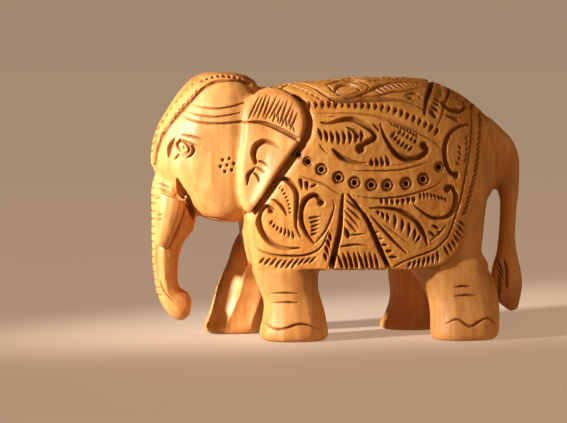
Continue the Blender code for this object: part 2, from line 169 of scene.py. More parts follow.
def edge_pairs(quads):
    e = np.vstack([quads[:, [k, (k + 1) % 4]] for k in range(4)])
    return np.unique(np.sort(e, axis=1), axis=0)


def neighbour_mean(values, edges):
    """Mean of each vertex's neighbours, column by column."""
    count = len(values)
    total = np.empty_like(values)
    for k in range(values.shape[1]):
        column = np.bincount(edges[:, 0], values[edges[:, 1], k], count)
        column += np.bincount(edges[:, 1], values[edges[:, 0], k], count)
        total[:, k] = column
    return total / np.bincount(edges.ravel(), minlength=count).astype(float)[:, None]


def relax(co, edges, rounds, weight):
    """Smooth without shrinking: each step in is followed by a smaller step out."""
    for _ in range(rounds):
        for step in (0.55, -0.30):
            co = co + (neighbour_mean(co, edges) - co) * step * weight
    return co


def quad_normals(co, quads):
    n = np.cross(co[quads[:, 2]] - co[quads[:, 0]], co[quads[:, 3]] - co[quads[:, 1]])
    out = np.zeros_like(co)
    for k in range(4):
        for axis in range(3):
            out[:, axis] += np.bincount(quads[:, k], n[:, axis], len(co))
    return out / np.maximum(np.linalg.norm(out, axis=1), 1e-12)[:, None]


# the CAD's own surface, to tell which node each blank vertex belongs to
all_co = np.vstack([parts[n][0] for n in names])
all_tri = []
owner = []
offset = 0
for i, n in enumerate(names):
    all_tri.append(parts[n][1] + offset)
    owner += [i] * len(parts[n][1])
    offset += len(parts[n][0])
all_tri = np.vstack(all_tri)
owner = np.array(owner)
tree = BVHTree.FromPolygons(all_co.tolist(), all_tri.tolist())


def nearest_node(points):
    find = tree.find_nearest
    return np.array([owner[find(p)[2]] for p in map(Vector, points.tolist())])


edges = edge_pairs(quads)
co = relax(co, edges, 2, 1.0)
label = nearest_node(co)
fine = [names.index(n) for n in ("trunk", "tusk_left", "tusk_right", "tail_tuft")]
co = relax(co, edges, 9, np.where(np.isin(label, fine), SOFT_SHARE, 1.0)[:, None])
joined = [i for i, n in enumerate(names) if n == "torso" or n.endswith("_leg")]
hip = (np.abs(co[:, 2] - HIP_MIDDLE) < HIP_REACH) & np.isin(label, joined)
co = relax(co, edges, 40, (0.02 + 0.98 * hip)[:, None])
co = co - quad_normals(co, quads) * CLOSE
co = relax(co, edges, 2, 0.6)
co[:, 2] = np.maximum(co[:, 2], 0.0)

base = add_object("blank", mesh_from("blank", co, quads))
sub = base.modifiers.new("sub", "SUBSURF")
sub.levels = 1
sub.render_levels = 1
co, quads = evaluated_quads(base)
bpy.data.objects.remove(base)
normal = quad_normals(co, quads)
edges = edge_pairs(quads)
label = nearest_node(co)


def on(*wanted):
    """The vertices of the named nodes."""
    return np.isin(label, [i for i, n in enumerate(names) if n in wanted])


is_cloth = on(*CLOTH)


# ---------------------------------------------------------------- gouges
depth = np.zeros(len(co))          # how far each point is cut in, mm
stain_and_shade = np.zeros(len(co))           # how much painted shade and stain the cut gets, 0..1
standing = np.zeros(len(co))       # how far a small form is left standing, mm

side_yz = co[:, 1:3].copy()
WANDER = 0.22                      # how far the right flank's strokes wander from the left's, mm
side_yz[:, 0] += np.where(co[:, 0] < 0, WANDER * np.sin(co[:, 2] * 0.31 - 1.3), 0.0)
top_yx = np.stack([co[:, 1], np.abs(co[:, 0])], axis=1)


def curve(points, step=0.35):
    """Smooth line through a few given points."""
    p = np.array(points, float)
    if len(p) == 2:
        count = max(int(np.linalg.norm(p[1] - p[0]) / step), 2)
        return np.linspace(p[0], p[1], count + 1)
    p = np.vstack([2 * p[0] - p[1], p, 2 * p[-1] - p[-2]])
    out = []
    for i in range(1, len(p) - 2):
        a, b, c, d = p[i - 1:i + 3]
        count = max(int(np.linalg.norm(c - b) / step), 2)
        f = np.linspace(0, 1, count, endpoint=False)[:, None]
        out.append(0.5 * (2 * b + (c - a) * f + (2 * a - 5 * b + 4 * c - d) * f * f
                          + (3 * b - a - 3 * c + d) * f ** 3))
    out.append(p[-2][None])
    return np.vstack(out)


def along(plane, mask, line, reach):
    """Distance to a line, place along it (0..1) and side, for the points near it."""
    lo = line.min(0) - reach
    hi = line.max(0) + reach
    near = mask & np.all((plane > lo) & (plane < hi), axis=1)
    idx = np.nonzero(near)[0]
    if not len(idx):
        return idx, None, None, None
    q = plane[idx]
    best = np.full(len(idx), 1e9)
    place = np.zeros(len(idx))
    hand = np.zeros(len(idx))
    seg = np.diff(line, axis=0)
    length = np.linalg.norm(seg, axis=1)
    start = np.concatenate([[0], np.cumsum(length)])
    for k in range(len(seg)):
        d = q - line[k]
        t = np.clip(d @ seg[k] / max(length[k] ** 2, 1e-12), 0, 1)
        off = d - t[:, None] * seg[k]
        dist = np.linalg.norm(off, axis=1)
        hit = dist < best
        best[hit] = dist[hit]
        place[hit] = ((start[k] + t * length[k]) / start[-1])[hit]
        hand[hit] = np.sign(seg[k][0] * d[:, 1] - seg[k][1] * d[:, 0])[hit]
    return idx, best, place, hand


def widths(place, start, middle, end, peak):
    """Width along a stroke: from start to the widest place and on to the end."""
    rise = np.clip(place / max(peak, 1e-3), 0, 1)
    fall = np.clip((1 - place) / max(1 - peak, 1e-3), 0, 1)
    bell_in = start + (middle - start) * np.sin(rise * math.pi / 2)
    bell_out = end + (middle - end) * np.sin(fall * math.pi / 2)
    return np.where(place < peak, bell_in, bell_out)


WIDEN = 1.2               # every stroke is this much wider than it is drawn
DEEPEN = 1.5              # and this much deeper


def gouge(points, width, deep, plane=side_yz, mask=is_cloth, ends=(0.25, 0.25), peak=0.5, lean=0.0,
          tone=1.0):
    """One cut: round-bottomed, tapering to its ends, steeper on one side if it leans."""
    line = curve(points)
    width = width * WIDEN
    deep = deep * DEEPEN
    idx, dist, place, hand = along(plane, mask, line, width)
    if not len(idx):
        return
    w = widths(place, ends[0], 1.0, ends[1], peak)
    half = 0.5 * width * w
    u = dist / half
    shift = 1.0 + lean * hand * u
    cut = deep * np.sqrt(np.clip(w, 0, 1)) * np.clip(1.1 * (1 - u * u), 0, 1) * shift
    hit = u < 1
    depth[idx[hit]] = np.maximum(depth[idx[hit]], cut[hit])
    # painted shade and stain along the cut, darkest down its middle
    shade = tone * np.clip(1.15 - u, 0, 1) * np.sqrt(np.clip(w, 0, 1))
    near = u < 1.15
    stain_and_shade[idx[near]] = np.maximum(stain_and_shade[idx[near]], shade[near])


def eyelet(centre, outer, hole):
    """Drilled ring: a dished seat, a small raised collar and a hole in the middle."""
    r = np.linalg.norm(side_yz - np.array(centre), axis=1)
    idx = np.nonzero(is_cloth & (r < outer * 1.15))[0]
    u = r[idx] / outer
    dish = 1.35 * np.clip(1.6 * (1 - u ** 3), 0, 1)
    collar = 0.95 * np.exp(-((r[idx] - hole * 1.5) / (0.2 * outer)) ** 2)
    bore = 1.3 * np.clip((hole * 1.1 - r[idx]) / (hole * 0.3), 0, 1)
    depth[idx] = np.maximum(depth[idx], np.clip(dish - collar, 0, None) + bore)
    # painted stain and shade: a dark line round the seat, the seat a little darker, the hole dark as shade
    # inside it
    rim = np.exp(-((u - 0.86) / 0.14) ** 2)
    tone = 0.75 * rim + 0.30 * (u < 0.9) + 1.0 * (r[idx] < hole * 1.2)
    stain_and_shade[idx] = np.maximum(stain_and_shade[idx], np.clip(tone, 0, 1))


def pit(centre, radius, deep, mask=is_cloth):
    """Round punched hole with a rounded floor."""
    r = np.linalg.norm(side_yz - np.array(centre), axis=1) / radius
    idx = np.nonzero(mask & (r < 1.2))[0]
    depth[idx] = np.maximum(depth[idx], deep * np.clip(1.25 * (1 - r[idx] ** 3), 0, 1))
    # painted shade and stain in the hole, darkest in its middle
    stain_and_shade[idx] = np.maximum(stain_and_shade[idx], np.clip(1.6 - 1.4 * r[idx], 0, 1))


def row(path, count, length, tilt, width, deep, plane=side_yz, mask=is_cloth, ends=(0.2, 0.2), peak=0.4,
        start=0.5, jitter=0.12, lean=0.0, bend=0.0):
    """Short cuts set along a path: length and tilt may run from a first to a last value."""
    line = curve(path, 0.1)
    step = np.concatenate([[0], np.cumsum(np.linalg.norm(np.diff(line, axis=0), axis=1))])
    for k in range(count):
        f = (k + 0.5) / count
        s = f * step[-1]
        here = np.array([np.interp(s, step, line[:, 0]), np.interp(s, step, line[:, 1])])
        size = length[0] + (length[1] - length[0]) * f
        size *= 1 + jitter * rng.uniform(-1, 1)
        turn = math.radians(tilt[0] + (tilt[1] - tilt[0]) * f + 40 * jitter * rng.uniform(-1, 1))
        way = np.array([math.cos(turn), math.sin(turn)])
        cross = np.array([-way[1], way[0]])
        a = here - way * size * start
        b = here + way * size * (1 - start)
        middle = (a + b) / 2 + cross * bend * size
        gouge([a, middle, b], width * (1 + jitter * rng.uniform(-1, 1)), deep, plane, mask, ends,
              peak, lean)


def border_of(first, second):
    """Points where one group of carved forms meets another."""
    in_a = on(*first)
    in_b = on(*second)
    e0, e1 = edges[:, 0], edges[:, 1]
    meet = (in_a[e0] & in_b[e1]) | (in_b[e0] & in_a[e1])
    return (co[e0[meet]] + co[e1[meet]]) / 2


def away_from(points, mask, reach):
    """Distance of the masked vertices to a set of points, where nearer than reach."""
    lo = points.min(0) - reach
    hi = points.max(0) + reach
    idx = np.nonzero(mask & np.all((co > lo) & (co < hi), axis=1))[0]
    finder = KDTree(len(points))
    for k, point in enumerate(points.tolist()):
        finder.insert(point, k)
    finder.balance()
    dist = np.array([finder.find(point)[2] for point in co[idx].tolist()])
    near = dist < reach
    return idx[near], dist[near]


def seam(first, second, width, deep, tone, top):
    """Stop cut along a border below the height top, the same on both sides."""
    points = border_of(first, second)
    points = points[points[:, 2] < top]
    idx, dist = away_from(points, on(*first, *second), width * 0.6)
    u = dist / (width * 0.5)
    depth[idx] = np.maximum(depth[idx], deep * np.clip(1 - u * u, 0, 1))
    # painted shade and stain along the stop cut
    stain_and_shade[idx] = np.maximum(stain_and_shade[idx], tone * np.clip(1.2 - u, 0, 1))


def ledge(high, low, drop, run, lift, tone):
    """One form stands over another: the lower side is cut down sharply at the border and painted darker
    there as shadow under the higher form.
    """
    points = border_of(high, low)
    idx, dist = away_from(points, on(*low), run * 2)
    depth[idx] = np.maximum(depth[idx], drop * np.exp(-(dist / run) ** 2))
    # painted shadow on the lower form, darkest at the border
    stain_and_shade[idx] = np.maximum(stain_and_shade[idx], tone * np.exp(-(dist / (0.35 * run)) ** 2))
    idx, dist = away_from(points, on(*high), run * 2)
    standing[idx] = np.maximum(standing[idx], lift * np.exp(-(dist / run) ** 2))


PANELS = sorted(CLOTH)
EARS = ("ear_left", "ear_right")
TUSKS = ("tusk_left", "tusk_right")
head = on("head")
LINE = 0.5                # width of a single parting-tool line, mm

# ---- the borders between the big forms
seam(TUSKS, ("trunk",), 1.1, 0.8, 0.7, 43.5)
gouge([(-62.6, 58.6), (-61.9, 63.4), (-59.6, 69.6), (-55.4, 75.2), (-51.0, 80.2), (-47.2, 84.2),
       (-42.6, 86.7), (-36.0, 87.2), (-30.6, 86.2)], 1.1, 0.6, ends=(0.7, 0.6), lean=0.3,
      mask=head | on("headdress"))
ledge(EARS, (*PANELS, "torso"), 2.2, 1.9, 0.25, 1.0)
ledge(PANELS, ("torso",), 0.75, 1.3, 0.3, 0.8)

# ---- bead band hanging across the flank: the end beads are smaller
BEADS = [(-16.3, 62.8), (-13.1, 60.4), (-8.7, 57.8), (-3.0, 55.1), (2.3, 53.4), (7.9, 52.6),
         (13.3, 52.5), (19.6, 53.0), (25.5, 54.4), (31.0, 58.4)]
BEAD_RADII = (1.7, 1.75, 2.15, *[2.25] * 6, 1.9)
BEAD_HOLE = 0.75
for spot, radius in zip(BEADS, BEAD_RADII):
    eyelet(spot, radius, BEAD_HOLE)
gouge([(1.9, 49.0), (9.2, 48.1), (16.8, 48.5), (21.3, 49.4), (28.5, 51.6), (32.0, 54.0)], 0.6, 0.45)
gouge([(-16.3, 55.6), (-12.8, 54.6), (-8.0, 52.9), (-5.0, 51.0), (-2.3, 49.2)], 0.6, 0.4)
gouge([(1.0, 57.4), (10.0, 57.2), (17.1, 57.5), (21.2, 58.3), (27.5, 60.0)], 0.6, 0.4, tone=0.8)
gouge([(4.0, 59.2), (10.0, 58.9), (17.0, 59.2), (22.0, 60.0)], 0.4, 0.25, tone=0.6)

# ---- upper flank, front scroll with its feathers
gouge([(-8.3, 73.3), (-5.4, 73.1), (-1.9, 74.1), (1.9, 74.4), (4.3, 73.6), (6.7, 72.1), (8.6, 70.3),
       (9.3, 68.6), (8.6, 67.7), (6.0, 66.5), (4.6, 65.4)], 1.75, 1.2, ends=(0.3, 0.9), peak=0.6, lean=0.3)
pit((4.3, 64.7), 1.75, 2.0)
gouge([(0.0, 71.8), (2.4, 70.6), (3.8, 68.8)], 1.2, 0.9, ends=(0.2, 0.8), peak=0.8)
gouge([(-6.7, 75.3), (-2.4, 75.4)], 0.5, 0.3, tone=0.8)
row([(-9.9, 69.6), (-4.0, 68.3), (1.6, 68.6), (5.7, 68.8)], 8, (4.5, 3.9), (-74, -96), 1.25, 1.0,
    bend=0.08, lean=-0.3)
gouge([(-9.3, 66.4), (-8.2, 64.6), (-6.4, 62.9)], LINE, 0.35)
gouge([(-4.8, 64.4), (-2.2, 62.0), (1.0, 60.5), (4.3, 59.8), (6.6, 59.8)], 1.7, 1.1, ends=(0.4, 0.15),
      peak=0.25, lean=0.3)
row([(7.1, 60.1), (14.2, 60.6)], 4, (1.6, 2.8), (90, 108), 1.5, 1.0, ends=(1.0, 0.1), peak=0.1, start=0.3)
# ---- upper flank, rear scroll
gouge([(11.4, 72.6), (12.2, 69.6), (13.5, 67.0), (15.9, 63.4), (18.8, 61.5), (22.1, 61.0), (25.0, 62.2),
       (26.9, 64.2), (26.2, 65.4)], 1.95, 1.3, ends=(0.25, 0.9), peak=0.6, lean=-0.3)
pit((25.8, 65.6), 1.45, 1.8)
row([(15.0, 69.8), (17.4, 66.8), (21.8, 64.2)], 6, (2.3, 2.0), (56, 44), 1.0, 0.8)
row([(17.2, 70.6), (20.4, 68.6), (23.6, 66.6)], 5, (2.0, 1.8), (54, 44), 0.95, 0.7)
row([(14.6, 73.0), (19.4, 71.0), (24.0, 68.6)], 9, (1.5, 1.2), (-62, -48), 0.7, 0.55)
gouge([(10.6, 74.6), (13.6, 73.9), (19.2, 71.9), (27.5, 67.9), (32.4, 64.0)], LINE, 0.4, tone=0.8)
row([(9.3, 72.4), (10.7, 70.8)], 2, (2.4, 2.0), (-52, -60), 0.8, 0.6)

# ---- dentil band under the back cloth
DENTIL = [(-13.0, 78.9), (-6.0, 79.2), (0.0, 79.1), (9.0, 78.6), (15.0, 77.4), (20.0, 75.6), (26.0, 72.6),
          (31.2, 69.4)]
row(DENTIL, 21, (1.9, 2.2), (-100, -118), 1.2, 0.85, ends=(1.0, 0.1), peak=0.1, start=0.4, lean=0.4)
gouge([(-14.0, 76.4), (-6.0, 76.4), (4.0, 76.2), (11.0, 75.2), (18.0, 73.0), (25.0, 69.6), (31.0, 66.2)],
      LINE, 0.35, tone=0.6)
gouge([(-6.0, 82.2), (3.5, 82.2), (13.0, 81.6), (22.6, 79.4), (28.0, 76.4)], 0.6, 0.45, tone=0.9)

# ---- front panel: stem, two paisleys and the little leaf
gouge([(-24.6, 52.9), (-22.6, 54.6), (-20.6, 54.5), (-18.6, 53.0), (-17.1, 50.2), (-16.9, 46.0),
       (-17.2, 42.0), (-17.0, 38.4), (-15.5, 35.2)], 1.75, 1.2, ends=(0.5, 0.15), peak=0.3, lean=0.3)
gouge([(-25.2, 44.6), (-26.7, 45.4), (-28.6, 43.8), (-29.4, 41.0), (-28.6, 37.9), (-26.7, 34.8),
       (-24.0, 32.6), (-20.4, 31.4), (-15.9, 31.6)], 1.8, 1.3, ends=(0.8, 0.3), peak=0.4, lean=0.3)
pit((-25.2, 44.2), 1.15, 1.5)
row([(-25.6, 40.6), (-23.3, 38.3), (-20.2, 36.8), (-17.4, 35.8)], 7, (1.3, 3.0), (58, 98), 0.75, 0.6)
gouge([(-25.9, 48.0), (-23.7, 47.4), (-21.6, 45.4), (-19.9, 42.2)], 1.1, 0.8, ends=(0.1, 0.15), peak=0.6,
      lean=-0.3)
row([(-24.4, 51.8), (-22.0, 51.6), (-20.3, 48.7), (-19.2, 45.4), (-18.9, 42.8)], 9, (1.3, 0.9), (70, 0),
    0.55, 0.45)
gouge([(-8.9, 47.6), (-10.3, 49.0), (-12.2, 49.0), (-14.3, 47.2), (-15.4, 44.0), (-15.2, 39.9),
       (-13.5, 36.3), (-11.2, 33.2)], 1.8, 1.3, ends=(0.8, 0.3), peak=0.35, lean=0.3)
pit((-8.9, 46.9), 1.3, 1.7)
gouge([(-5.0, 47.8), (-4.6, 45.3), (-6.0, 40.6), (-8.0, 36.6), (-11.1, 32.9)], 0.6, 0.55)
row([(-10.6, 42.7), (-10.6, 39.4), (-10.9, 35.8)], 5, (4.0, 1.9), (13, 17), 0.85, 0.6, ends=(0.9, 0.1),
    peak=0.2)
gouge([(-15.6, 54.2), (-15.1, 51.0)], 1.2, 0.9, ends=(1.0, 0.1), peak=0.1)
gouge([(-13.6, 53.2), (-13.4, 50.9)], 1.3, 0.9, ends=(1.0, 0.1), peak=0.1)
gouge([(-12.4, 51.9), (-10.2, 53.0)], 0.9, 0.6)
gouge([(-31.8, 33.2), (-28.6, 30.6), (-24.0, 29.2), (-19.6, 28.9), (-14.5, 29.1), (-10.4, 30.6),
       (-8.0, 33.2), (-6.4, 37.3)], 0.8, 0.7, lean=0.4)
row([(-33.2, 41.2), (-33.2, 37.0), (-32.0, 31.2)], 6, (2.4, 3.0), (4, 20), 0.7, 0.55)
row([(-29.0, 27.4), (-20.0, 26.7), (-10.6, 27.8)], 10, (3.0, 3.6), (52, 42), 0.75, 0.6, lean=0.3)
row([(-24.0, 25.6), (-17.0, 25.4)], 4, (2.0, 1.7), (38, 30), 0.6, 0.4)
row([(-5.6, 36.4), (-7.6, 27.6)], 4, (3.1, 2.8), (-76, -68), 1.1, 0.9, lean=0.3)

# ---- the two V cuts and the flap between them
gouge([(-1.6, 49.6), (-2.2, 43.5), (-2.6, 38.0), (-3.6, 33.0), (-6.0, 22.5)], 1.9, 1.7, ends=(0.35, 1.0),
      peak=0.75, lean=0.25)
gouge([(0.2, 49.6), (5.6, 42.5), (8.3, 37.4), (11.3, 30.6), (15.2, 22.5)], 1.6, 1.5, ends=(0.3, 0.8),
      peak=0.6, lean=-0.3)
FLAP_LINES = [((0.2, 49.0), (4.4, 45.6)), ((-0.2, 47.4), (4.6, 43.7)), ((-0.1, 45.1), (4.8, 40.8)),
              ((-1.0, 44.0), (3.7, 38.9)), ((-0.8, 41.2), (3.1, 36.9))]
for a, b in FLAP_LINES:
    gouge([a, b], 0.75, 0.6, ends=(0.4, 0.2))
gouge([(-1.0, 38.6), (0.2, 35.8)], 1.5, 1.0, ends=(0.2, 1.0), peak=0.8)
gouge([(0.0, 35.7), (6.2, 36.4)], 0.8, 0.6, ends=(1.0, 0.1), peak=0.1)
gouge([(-2.2, 32.1), (2.8, 32.7), (7.2, 32.2)], 0.8, 0.6, ends=(0.7, 0.1), peak=0.3)
row([(-3.4, 27.4), (3.0, 27.6), (10.6, 27.2)], 8, (5.6, 5.2), (-72, -76), 1.1, 1.0, lean=0.3,
    ends=(0.3, 0.8), peak=0.6)

# ---- rear panel: leaf with feathers beside the flap
gouge([(7.4, 44.9), (12.2, 44.9), (16.8, 44.1), (20.4, 42.4), (23.1, 40.3), (24.9, 37.6), (26.2, 34.9),
       (26.9, 32.2)], 1.7, 1.2, ends=(0.2, 0.25), peak=0.7, lean=0.3)
LEAF = [((9.9, 44.0), (10.1, 42.6)), ((11.4, 43.5), (11.9, 41.2)), ((13.1, 42.9), (13.4, 40.0)),
        ((15.7, 42.6), (15.7, 37.8)), ((18.3, 41.0), (18.1, 36.8)), ((20.6, 39.8), (20.3, 35.0)),
        ((22.7, 37.6), (22.1, 33.7)), ((24.3, 35.4), (22.9, 33.2))]
for a, b in LEAF:
    gouge([a, ((a[0] + b[0]) / 2 + 0.25, (a[1] + b[1]) / 2), b], 1.05, 0.85, ends=(0.5, 0.15), peak=0.35,
          lean=-0.35)
gouge([(7.7, 42.4), (13.7, 35.8), (20.1, 29.5)], 1.0, 0.8, ends=(0.3, 0.3), lean=-0.5)
gouge([(11.0, 40.3), (20.7, 32.8)], 0.45, 0.3, tone=0.7)
pit((7.2, 41.4), 0.4, 0.5)
pit((7.9, 39.7), 0.45, 0.55)
row([(9.2, 37.8), (11.6, 33.8), (16.2, 27.4)], 5, (1.4, 3.2), (6, -8), 1.0, 0.75, lean=0.3)
row([(10.4, 47.1), (17.0, 46.7), (23.0, 47.5)], 7, (1.3, 1.6), (-88, -92), 1.2, 0.8, ends=(1.0, 0.1),
    peak=0.12, start=0.4)
row([(23.8, 48.8), (27.4, 49.0), (31.0, 48.2), (33.6, 47.4)], 8, (2.6, 1.5), (-86, -50), 0.8, 0.65)
gouge([(33.8, 51.8), (35.6, 51.4), (36.8, 49.0), (36.5, 46.0), (35.4, 43.2), (33.2, 41.5), (30.4, 41.1),
       (27.4, 42.0), (24.7, 43.8), (22.2, 45.7)], 1.6, 1.2, ends=(0.9, 0.2), peak=0.3, lean=-0.3)
pit((33.7, 51.0), 1.35, 1.6)
gouge([(28.3, 39.1), (31.3, 37.6)], 0.9, 0.7)
gouge([(27.4, 37.0), (29.8, 35.2)], 0.9, 0.7)
gouge([(30.2, 36.9), (31.6, 36.3)], 0.6, 0.5)
gouge([(33.4, 39.1), (31.0, 36.2), (27.8, 33.6)], 0.7, 0.55)
BORDER = [(43.9, 76.5), (43.4, 72.0), (42.3, 65.6), (40.8, 58.5), (38.8, 49.0), (36.5, 41.6), (34.1, 35.4),
          (30.4, 31.5), (26.8, 29.7), (22.8, 28.4), (18.3, 26.6), (15.8, 25.2)]
gouge(BORDER, 0.65, 0.5, ends=(0.8, 0.8))
row([(47.8, 76.4), (46.6, 70.0), (44.8, 60.0), (42.2, 50.0), (39.6, 42.0)], 19, (2.7, 2.8), (52, 40), 0.85,
    0.7, lean=0.3)
row([(39.4, 40.2), (36.8, 33.6), (33.0, 29.6)], 7, (3.2, 3.6), (-40, -66), 0.85, 0.7)
row([(31.4, 28.6), (26.0, 26.8), (20.0, 25.6)], 7, (3.8, 2.6), (-80, -118), 0.95, 0.75)
# ---- rear panel: C scroll and the hook above it
gouge([(42.1, 72.4), (39.0, 71.9), (35.7, 70.2), (33.7, 67.2), (33.0, 63.6), (33.4, 59.9), (34.7, 57.0),
       (36.2, 55.8)], 1.5, 1.15, ends=(0.3, 0.9), peak=0.6, lean=-0.3)
pit((36.8, 55.6), 1.35, 1.6)
row([(38.4, 65.8), (38.2, 61.6), (37.2, 58.6)], 4, (1.9, 1.5), (-58, -40), 0.85, 0.7)
row([(41.2, 69.4), (41.0, 64.0), (40.0, 59.6)], 5, (2.2, 2.0), (56, 60), 0.7, 0.55)
gouge([(33.6, 79.6), (35.7, 77.6), (39.0, 76.9), (41.3, 77.8), (41.7, 80.4)], 1.5, 1.1, ends=(0.9, 0.4),
      peak=0.35)
pit((33.7, 79.4), 1.1, 1.3)
row([(34.4, 75.4), (36.6, 74.4), (38.4, 74.0)], 5, (2.6, 2.2), (-30, -70), 0.6, 0.5)

# ---- back cloth, laid out from above: along the spine and out to the side
TOP = dict(plane=top_yx, mask=on("back_panel", "left_rear_panel", "right_rear_panel"))
gouge([(-15.0, 0.0), (-13.0, 4.4), (-11.0, 8.1), (-7.4, 14.0), (-2.8, 17.8), (8.6, 18.5), (20.0, 18.8),
       (27.2, 20.8)], 1.2, 0.75, lean=0.3, **TOP)
gouge([(-21.0, 4.0), (-18.1, 10.1), (-14.6, 15.4), (-10.6, 18.6)], 1.1, 0.8, lean=0.3, **TOP)
row([(-16.6, 6.0), (-12.4, 12.6), (-7.6, 17.4)], 7, (2.2, 1.6), (20, 34), 0.7, 0.5, **TOP)
# eye-shaped leaf beside the spine
gouge([(-5.0, 9.6), (-2.5, 8.0), (0.4, 6.2), (4.6, 5.4), (7.4, 8.3), (9.1, 12.9)], 1.5, 1.2, lean=-0.3,
      **TOP)
gouge([(-5.0, 9.8), (-3.6, 13.6), (0.0, 16.9), (4.0, 17.2), (7.4, 15.6), (9.1, 12.9)], 1.1, 0.8, lean=0.3,
      **TOP)
gouge([(-2.8, 14.2), (-1.4, 12.2), (1.7, 10.9), (4.4, 12.4), (5.8, 14.8)], 2.0, 1.4, lean=0.4, **TOP)
gouge([(-2.4, 14.6), (0.6, 16.2), (3.4, 16.1), (5.6, 15.0)], 0.7, 0.5, **TOP)
gouge([(1.0, 8.6), (4.4, 8.0), (6.2, 10.4)], 1.2, 0.9, **TOP)
# long leaf with its slanting veins
gouge([(1.2, 17.7), (4.0, 17.3), (7.6, 15.8), (11.4, 13.5), (16.5, 11.1), (22.0, 9.3), (29.6, 8.0)], 1.4,
      1.1, ends=(0.3, 0.4), lean=0.4, **TOP)
gouge([(6.0, 17.8), (12.1, 17.2), (17.5, 15.8), (20.8, 15.4), (26.0, 12.8)], 0.8, 0.5, **TOP)
row([(10.6, 15.8), (15.6, 13.9), (21.2, 12.0), (27.4, 10.4)], 10, (3.6, 2.4), (42, 52), 0.95, 0.7, lean=0.3,
    **TOP)
gouge([(20.2, 17.6), (22.4, 16.4), (24.6, 15.9), (26.0, 17.8)], 1.1, 0.8, **TOP)
gouge([(21.0, 18.0), (23.4, 17.9)], 0.9, 0.6, **TOP)
# rear border: one deep cut, a ladder of notches, a thin line
gouge([(26.6, 21.0), (28.1, 17.3), (30.2, 11.8), (31.6, 6.0), (32.0, 0.0)], 1.7, 1.5, ends=(0.5, 0.9),
      lean=0.4, **TOP)
row([(29.4, 21.4), (31.2, 18.6), (33.0, 14.6), (34.4, 10.0), (35.2, 1.6)], 14, (1.9, 1.9), (8, 14), 1.05,
    0.9, ends=(0.9, 0.3), peak=0.3, **TOP)
gouge([(30.7, 22.4), (32.6, 20.4), (34.8, 16.0), (37.0, 10.0), (38.0, 0.0)], 0.8, 0.5, ends=(0.4, 0.9),
      **TOP)
# spine: a chain of small leaves, the same on both sides
CHAIN_START = -8.0
CHAIN_STEP = 6.4
for k in range(6):
    y = CHAIN_START + CHAIN_STEP * k
    gouge([(y, 0.0), (y + 1.6, 2.1), (y + 4.6, 2.3), (y + 6.2, 0.2)], 1.0, 0.75, **TOP)
    gouge([(y + 2.0, 0.2), (y + 4.6, 0.2)], 0.9, 0.7, **TOP)
row([(-6.0, 4.4), (6.0, 3.6), (16.0, 4.6), (29.0, 4.6)], 15, (1.9, 2.4), (58, 64), 0.8, 0.6, **TOP)
row([(9.6, 8.8), (14.4, 7.6), (21.0, 6.6)], 7, (2.0, 1.8), (-38, -44), 0.8, 0.6, **TOP)
gouge([(-19.0, 0.0), (-16.6, 3.0), (-19.6, 6.0), (-22.4, 8.6)], 1.0, 0.7, **TOP)
# over the rump
gouge([(41.6, 2.2), (43.6, 4.4), (43.8, 8.0), (41.6, 10.6)], 1.1, 0.8, **TOP)
row([(39.6, 2.2), (40.2, 7.4), (39.4, 13.0)], 6, (2.2, 2.2), (6, 26), 0.85, 0.65, **TOP)
gouge([(46.4, 0.0), (45.8, 6.0), (44.2, 12.0)], 0.7, 0.5, ends=(0.8, 0.8), **TOP)
row([(49.4, 1.0), (48.8, 6.0), (47.2, 11.4)], 7, (2.4, 2.6), (24, 36), 0.85, 0.65, **TOP)

# ---- ears
ears = on(*EARS)
row([(-31.0, 78.4), (-26.4, 78.6), (-21.0, 77.0), (-16.9, 73.6)], 11, (8.8, 8.2), (58, 72), 0.55, 0.5,
    ends=(0.3, 0.2), jitter=0.2, mask=ears)
row([(-24.4, 75.4), (-20.4, 74.2), (-17.4, 71.6)], 6, (3.6, 3.8), (76, 112), 0.45, 0.4, jitter=0.2,
    mask=ears)
gouge([(-34.0, 73.3), (-31.9, 73.4), (-28.6, 73.3), (-25.4, 72.5), (-20.9, 70.4), (-16.6, 67.8)], 1.5, 1.1,
      lean=0.5, ends=(0.25, 0.9), peak=0.75, mask=ears | head)
gouge([(-30.3, 60.0), (-30.9, 62.8), (-30.0, 65.5), (-27.5, 67.0), (-24.8, 66.6), (-22.6, 65.2)], 2.0, 1.2,
      ends=(0.6, 0.15), peak=0.4, lean=-0.5, mask=ears)
gouge([(-30.2, 60.4), (-28.0, 60.2), (-26.4, 59.0)], 0.8, 0.6, mask=ears)
gouge([(-30.4, 58.6), (-28.6, 57.8), (-27.4, 56.6)], 0.7, 0.5, mask=ears)
gouge([(-33.0, 52.6), (-32.6, 55.8), (-31.2, 57.4), (-30.4, 58.4)], 1.3, 0.9, lean=-0.4, mask=ears)
gouge([(-31.0, 57.0), (-29.6, 55.4), (-29.2, 53.4)], 0.8, 0.6, mask=ears)

# ---- head: forehead lines
gouge([(-51.0, 79.6), (-47.6, 78.4), (-42.4, 77.9), (-37.0, 78.7), (-33.0, 80.0)], 0.6, 0.5, ends=(0.3, 0.5),
      mask=head)
gouge([(-52.8, 77.0), (-49.0, 75.8), (-43.4, 75.1), (-38.6, 75.7), (-34.8, 76.5)], 0.6, 0.5, ends=(0.3, 0.3),
      mask=head)
gouge([(-53.6, 75.3), (-49.2, 73.5), (-43.2, 72.9), (-37.2, 73.2), (-32.6, 73.9)], 0.7, 0.6, ends=(0.3, 0.9),
      mask=head)
